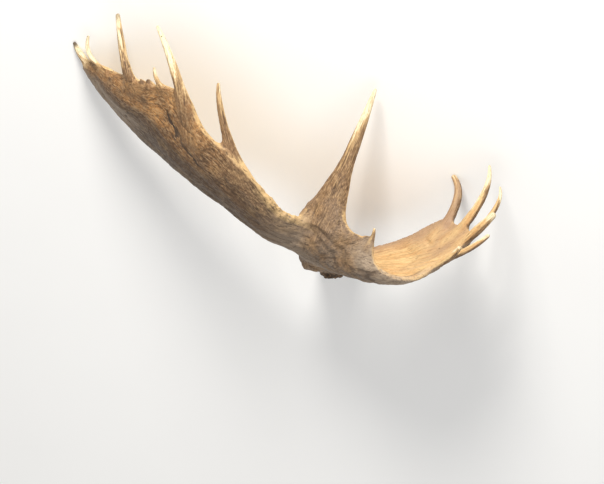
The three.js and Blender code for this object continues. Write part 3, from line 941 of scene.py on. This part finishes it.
class Nodes:
    """Short ways to build a material's nodes."""

    def __init__(self, name):
        self.material = bpy.data.materials.new(name)
        self.material.use_nodes = True
        self.tree = self.material.node_tree
        self.shader = self.tree.nodes["Principled BSDF"]

    def node(self, kind, inputs=(), **settings):
        made = self.tree.nodes.new(kind)
        for key, value in settings.items():
            setattr(made, key, value)
        for key, value in dict(inputs).items():
            self.put(value, made.inputs[key])
        return made

    def put(self, value, socket):
        if isinstance(value, bpy.types.NodeSocket):
            self.tree.links.new(value, socket)
        elif isinstance(value, tuple) and len(value) == 3 and socket.type == "RGBA":
            socket.default_value = (*value, 1)
        else:
            socket.default_value = value

    def math(self, operation, a, b=0.0, clamp=False):
        made = self.node("ShaderNodeMath", {0: a, 1: b}, operation=operation, use_clamp=clamp)
        return made.outputs[0]

    def fit(self, value, low, high, to_low=0.0, to_high=1.0):
        """A smooth change from to_low, where the value is low, to to_high, where it is high."""
        made = self.node(
            "ShaderNodeMapRange",
            {"Value": value, "From Min": low, "From Max": high, "To Min": to_low, "To Max": to_high},
            interpolation_type="SMOOTHSTEP",
        )
        return made.outputs["Result"]

    def mix(self, factor, a, b):
        """The colour a where the factor is 0 and b where it is 1."""
        made = self.node("ShaderNodeMix", {0: factor, 6: a, 7: b}, data_type="RGBA")
        return made.outputs[2]

    def mask(self, name):
        return self.node("ShaderNodeAttribute", attribute_name=name).outputs["Fac"]

    def noise(self, vector, scale, detail=3.0, roughness=0.55):
        made = self.node(
            "ShaderNodeTexNoise",
            {"Vector": vector, "Scale": scale, "Detail": detail, "Roughness": roughness},
        )
        return made.outputs["Fac"]

    def drawn_out(self, long, fine, detail=3.0):
        """Noise in streaks along the grain: long and fine are a streak's size in mm."""
        total = 0.0
        for name in GRAINS:
            where = self.node("ShaderNodeAttribute", attribute_name=name).outputs["Vector"]
            scaled = self.node(
                "ShaderNodeVectorMath",
                {0: where, 1: (1 / long, 1 / fine, 1 / fine)},
                operation="MULTIPLY",
            ).outputs[0]
            share = self.mask(name.replace("grain", "share"))
            part = self.math("MULTIPLY", self.noise(scaled, 1.0, detail), share)
            total = self.math("ADD", part, total)
        return total


n = Nodes("antler_bone")
place = n.node("ShaderNodeTexCoord").outputs["Object"]
coarse = n.drawn_out(70.0, 8.0)
fine = n.drawn_out(9.0, 3.0)
hair = n.drawn_out(30.0, 1.6, 2.0)
blotch = n.noise(place, 26.0, 4.0, 0.6)
patch = n.noise(place, 12.0, 3.0, 0.5)
grit = n.noise(place, 210.0, 2.0, 0.6)
speckle = n.noise(place, 240.0, 2.0, 0.5)
PATTERNS = {
    "coarse": coarse,
    "fine": fine,
    "hair": hair,
    "blotch": blotch,
    "patch": patch,
    "grit": grit,
    "relief": n.mask("relief"),
}
# Where the bone is gray, shaded or a tine, its speckles are weaker.
quiet = n.math("ADD", n.math("ADD", n.mask("gray"), n.mask("shade")), n.mask("share_tine"))
calm = n.fit(quiet, 0.1, 1.2, 1.0, 0.35)


def painted(color, layers):
    """A colour with layers over it."""
    for hold, pattern, low, high, most, paint in layers:
        part = n.fit(PATTERNS[pattern], low, high, 0.0, most)
        if hold is not None:
            held = calm if hold == "calm" else n.mask(hold)
            part = n.math("MULTIPLY", held, part, clamp=True)
        color = n.mix(part, color, paint)
    return color


def face_color():
    """The palms and the beam: dark and rough outside, pale and smooth inside."""
    outer = painted(BROWN, OUTER_LAYERS)
    inner = n.mix(n.mask("lobe"), painted(PALE_TAN, PALM_LAYERS), painted(WARM_TAN, CUP_LAYERS))
    inner = painted(inner, INNER_LAYERS)
    side = n.math("ADD", n.mask("inner"), n.fit(blotch, 0.3, 0.7, -0.12, 0.12), clamp=True)
    return n.mix(side, outer, inner)


def with_worn_tines(bone):
    """The tines worn to cream and ivory, in streaks that run down from their tips."""
    worn = n.math("ADD", n.mask("cream"), n.fit(coarse, 0.3, 0.7, -0.2, 0.2))
    worn = n.math("ADD", worn, n.fit(hair, 0.3, 0.7, -0.1, 0.1))
    worn = n.math("MULTIPLY", n.fit(worn, 0.15, 0.8), n.fit(n.mask("cream"), 0.0, 0.2))
    ivory = n.mix(n.fit(worn, 0.6, 1.0), CREAM, IVORY)
    return n.mix(worn, bone, painted(ivory, TINE_LAYERS))


def crack_mask():
    """The crack, in the main palm's own millimetres so that it stays a thin sharp line."""
    start, end = (
        Vector((np.interp(t, main_palm.t, main_palm.length), v * PALM_GRAIN)) for t, v in CRACK
    )
    length = (end - start).length
    way = (end - start) / length
    grain = n.node("ShaderNodeAttribute", attribute_name="grain_main").outputs["Vector"]
    from_start = n.node(
        "ShaderNodeVectorMath", {0: grain, 1: (*start, 0)}, operation="SUBTRACT"
    ).outputs[0]

    def measured(direction):
        return n.node(
            "ShaderNodeVectorMath", {0: from_start, 1: direction}, operation="DOT_PRODUCT"
        ).outputs["Value"]

    along = measured((*way, 0))
    off = n.math(
        "ADD", measured((-way.y, way.x, 0)), n.fit(blotch, 0.3, 0.7, -CRACK_WANDER, CRACK_WANDER)
    )
    mask = n.fit(n.math("ABSOLUTE", off), *CRACK_HALF_WIDTH)
    mask = n.math("MULTIPLY", mask, n.fit(along, 0.0, CRACK_START))
    mask = n.math("MULTIPLY", mask, n.fit(along, length, length - CRACK_END))
    mask = n.math("MULTIPLY", mask, n.fit(n.mask("inner"), 0.5, 0.2))
    return n.math("MULTIPLY", mask, n.mask("share_main"))


def random_cells(scale):
    """The distance from the middle of the nearest of many random cells."""
    made = n.node("ShaderNodeTexVoronoi", {"Vector": place, "Scale": scale, "Randomness": 1.0})
    return made.outputs["Distance"]


bone = painted(with_worn_tines(face_color()), WEAR_AND_PAINTED_LIGHT_LAYERS)
bone = n.mix(n.math("MULTIPLY", n.mask("line"), LINE_STRENGTH), bone, DARK_BROWN)
bone = n.mix(n.mask("dark_tip"), bone, DARK_BROWN)
crack = crack_mask()
bone = n.mix(crack, bone, BURR_BROWN)
crust = n.mix(n.fit(speckle, 0.45, 0.62), BURR_BROWN, BROWN)
bone = n.mix(n.math("MULTIPLY", n.mask("burr"), CRUST_STRENGTH), bone, crust)
cut_face = n.mix(n.fit(random_cells(BONE_CELLS), 0.45, 0.2), CREAM, PORE)
bone = n.mix(n.mask("sawn"), bone, cut_face)
pit = n.math("MULTIPLY", n.fit(random_cells(PIT_CELLS), 0.1, 0.05), n.fit(patch, 0.48, 0.56))
bone = n.mix(n.math("MULTIPLY", pit, PIT_STRENGTH), bone, DARK_BROWN)

n.put(bone, n.shader.inputs["Base Color"])
n.put(n.fit(fine, 0.35, 0.65, 0.72, 0.5), n.shader.inputs["Roughness"])
n.shader.inputs["Specular IOR Level"].default_value = 0.4
# The finest relief, which the shader adds: streaks, hair lines, grit, pits and the crack.
level = n.math("ADD", fine, n.math("MULTIPLY", hair, BUMP_HAIR))
level = n.math("SUBTRACT", level, n.math("MULTIPLY", n.math("ADD", pit, crack), BUMP_PIT))
level = n.math("ADD", level, n.math("MULTIPLY", grit, BUMP_GRIT))
bump = n.node("ShaderNodeBump", {"Strength": 1.0, "Distance": BUMP_HEIGHT, "Height": level})
n.put(bump.outputs["Normal"], n.shader.inputs["Normal"])
final.materials.clear()
final.materials.append(n.material)

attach(antler, "root")
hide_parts("beam", "main_palm", "brow_palm")

# ---------------------------------------------------------------- floor, light and camera

FLOOR_HALF = 9.0
FLOOR_COLORS = ((0.86, 0.86, 0.85), (0.9, 0.9, 0.89))
FLOOR_ROUGHNESS = 0.9
FLOOR_SIGNS = ((-1, -1), (1, -1), (1, 1), (-1, 1))
corners = [(x * FLOOR_HALF, y * FLOOR_HALF, 0) for x, y in FLOOR_SIGNS]
floor_mesh = mesh_of("floor", corners, [(0, 1, 2, 3)])
floor = bpy.data.objects.new("floor", floor_mesh)
bpy.context.scene.collection.objects.link(floor)
paint = Nodes("floor_paint")
grainy = paint.noise(paint.node("ShaderNodeTexCoord").outputs["Object"], 3.0)
paint.put(paint.mix(grainy, *FLOOR_COLORS), paint.shader.inputs["Base Color"])
paint.shader.inputs["Roughness"].default_value = FLOOR_ROUGHNESS
floor_mesh.materials.append(paint.material)

SKY_COLOR = (1, 0.99, 0.98, 1)
SKY_STRENGTH = 0.55
world = bpy.data.worlds.new("studio")
world.use_nodes = True
sky = world.node_tree.nodes["Background"]
sky.inputs["Color"].default_value = SKY_COLOR
sky.inputs["Strength"].default_value = SKY_STRENGTH
bpy.context.scene.world = world

LIT_POINT = Vector((0.0, 0.0, 0.1))


def area_light(name, toward, distance, size, power, color):
    """A round lamp that faces the antler's middle from this direction and distance."""
    lamp = bpy.data.lights.new(name, "AREA")
    lamp.shape = "DISK"
    lamp.size = size
    lamp.energy = power
    lamp.color = color
    lit = bpy.data.objects.new(name, lamp)
    bpy.context.scene.collection.objects.link(lit)
    direction = Vector(toward).normalized()
    lit.location = LIT_POINT + direction * distance
    lit.rotation_euler = direction.to_track_quat("Z", "Y").to_euler()


area_light(
    "key", toward=(0.0, 0.93, 0.37), distance=3.2, size=1.0, power=125, color=(1.0, 0.97, 0.92)
)
area_light(
    "fill", toward=(0.3, -0.2, 1.0), distance=3.4, size=2.6, power=26, color=(0.97, 0.98, 1.0)
)

# The camera looks level at the antler as it is carried, from its front and outer side, with
# the burr's centre at one pixel of the image.
CAMERA_RIGHT = (-0.5, 0.8660254, 0.0)
CAMERA_BACK = (0.8660254, 0.5, 0.0)
METRES_PER_PIXEL = 1.8 / 1000
IMAGE_WIDTH, IMAGE_HEIGHT = 604, 484
BURR_PIXEL = (335, 256)
CAMERA_DISTANCE = 16.0
SENSOR_WIDTH = 36.0
CLIP_START, CLIP_END = 1.0, 60.0
right = Vector(TURN @ np.array(CAMERA_RIGHT))
back = Vector(TURN @ np.array(CAMERA_BACK))
up = back.cross(right)
burr_centre = Vector(SHIFT / 1000)
aim = (
    burr_centre
    + right * ((IMAGE_WIDTH / 2 - BURR_PIXEL[0]) * METRES_PER_PIXEL)
    + up * ((BURR_PIXEL[1] - IMAGE_HEIGHT / 2) * METRES_PER_PIXEL)
)
lens = bpy.data.cameras.new("camera")
lens.sensor_width = SENSOR_WIDTH
lens.lens = SENSOR_WIDTH * CAMERA_DISTANCE / (IMAGE_WIDTH * METRES_PER_PIXEL)
lens.clip_start = CLIP_START
lens.clip_end = CLIP_END
camera = bpy.data.objects.new("camera", lens)
bpy.context.scene.collection.objects.link(camera)
placed = Matrix((right, up, back)).transposed().to_4x4()
placed.translation = aim + back * CAMERA_DISTANCE
camera.matrix_world = placed
bpy.context.scene.camera = camera
bpy.context.scene.view_settings.view_transform = "Standard"
